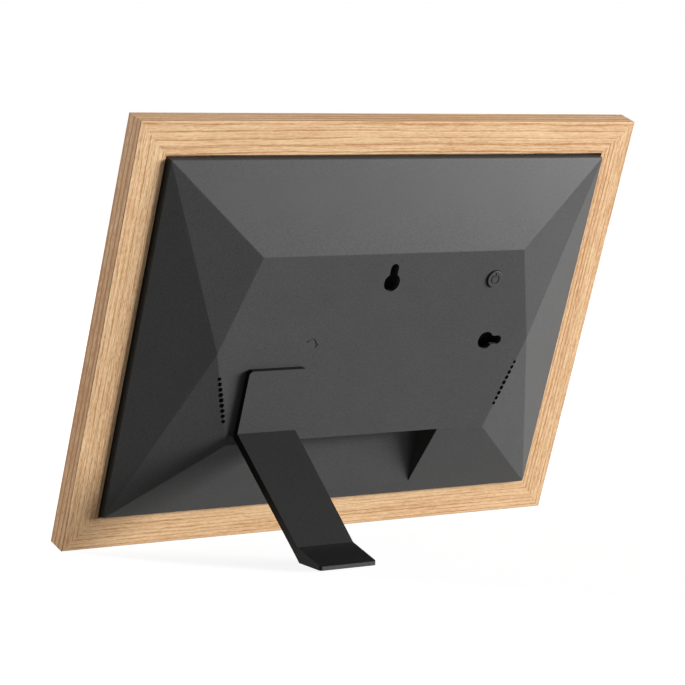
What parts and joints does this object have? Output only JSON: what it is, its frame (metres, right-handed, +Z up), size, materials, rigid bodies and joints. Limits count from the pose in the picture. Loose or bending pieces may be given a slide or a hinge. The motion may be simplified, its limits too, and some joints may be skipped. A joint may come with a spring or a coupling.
{
  "type": "digital photo frame",
  "caption": "Digital photo frame with a flat oak surround, a faceted dark plastic rear cover and a bent plastic stand that swivels for upright or wide use.",
  "frame": {"origin": "middle of the underside of the overall box, on the table that the frame stands on", "axes": "+X to the right as someone looks at the screen, +Y away from that person towards the stand, +Z up; the screen leans back from upright by 19.8 degrees"},
  "size_m": [0.26, 0.1116, 0.1873],
  "materials": {
    "oak": "clear oiled oak",
    "beech": "plain",
    "screen_glass": "gloss, black print behind",
    "foam": "closed-cell foam",
    "display_layers": "gloss",
    "white_tray": "matt white",
    "zinc_steel": "bright zinc",
    "black_steel": "black oxide",
    "charcoal_plastic": "fine matt texture",
    "circuit_board": "green solder mask",
    "black_component": "moulded, black",
    "socket_shell": "nickel plated",
    "brass_spacer": "turned",
    "nylon": "natural",
    "rubber_pad": "matt black",
    "ribbon_film": "amber film",
    "wire_jacket": "black sleeve"
  },
  "bodies": {
    "frame": {"rail_top": "oak", "rail_bottom": "oak", "rail_left": "oak", "rail_right": "oak", "corner_dowel_1": "beech", "corner_dowel_2": "beech", "corner_dowel_3": "beech", "corner_dowel_4": "beech", "glass_gasket": "foam", "touch_glass": "screen_glass", "display_cell": "display_layers", "backlight_tray": "white_tray", "chassis_plate": "zinc_steel", "board_screw_1": "zinc_steel", "board_screw_2": "zinc_steel", "board_screw_3": "zinc_steel", "board_screw_4": "zinc_steel", "speaker_screw_1": "zinc_steel", "speaker_screw_2": "zinc_steel", "speaker_screw_3": "zinc_steel", "speaker_screw_4": "zinc_steel", "button_board_screw_1": "zinc_steel", "button_board_screw_2": "zinc_steel", "chassis_screw_1": "black_steel", "chassis_screw_2": "black_steel", "chassis_screw_3": "black_steel", "chassis_screw_4": "black_steel", "rear_cover": "charcoal_plastic", "main_board": "circuit_board", "button_board": "circuit_board", "board_spacer_1": "brass_spacer", "board_spacer_2": "brass_spacer", "board_spacer_3": "brass_spacer", "board_spacer_4": "brass_spacer", "processor": "black_component", "memory_chip": "black_component", "storage_chip": "black_component", "power_inlet": "black_component", "speaker_left": "black_component", "speaker_right": "black_component", "tact_switch": "black_component", "wifi_module": "socket_shell", "usb_socket": "socket_shell", "card_slot": "socket_shell", "display_connector": "white_tray", "display_ribbon": "ribbon_film", "speaker_lead_left": "wire_jacket", "speaker_lead_right": "wire_jacket", "button_lead": "wire_jacket", "swivel_washer": "nylon"},
    "swivel_stand": {"stand": "charcoal_plastic", "stand_foot_pad": "rubber_pad", "swivel_retainer": "zinc_steel", "swivel_screw": "zinc_steel"},
    "button": {"power_button": "charcoal_plastic", "switch_plunger": "nylon"}
  },
  "joints": [
    {"name": "stand_swivel", "type": "hinge", "parent": "frame", "child": "swivel_stand", "pos_m": [0.05135, -0.00461, 0.06483], "axis": [0, -0.9409, 0.3387], "range_deg": [0, 90]},
    {"name": "button_press", "type": "slide", "parent": "frame", "child": "button", "axis": [0, -0.9409, 0.3387], "range_m": [0, 0.0006], "stiffness_N_per_m": 1200, "springref_m": -0.0008}
  ]
}
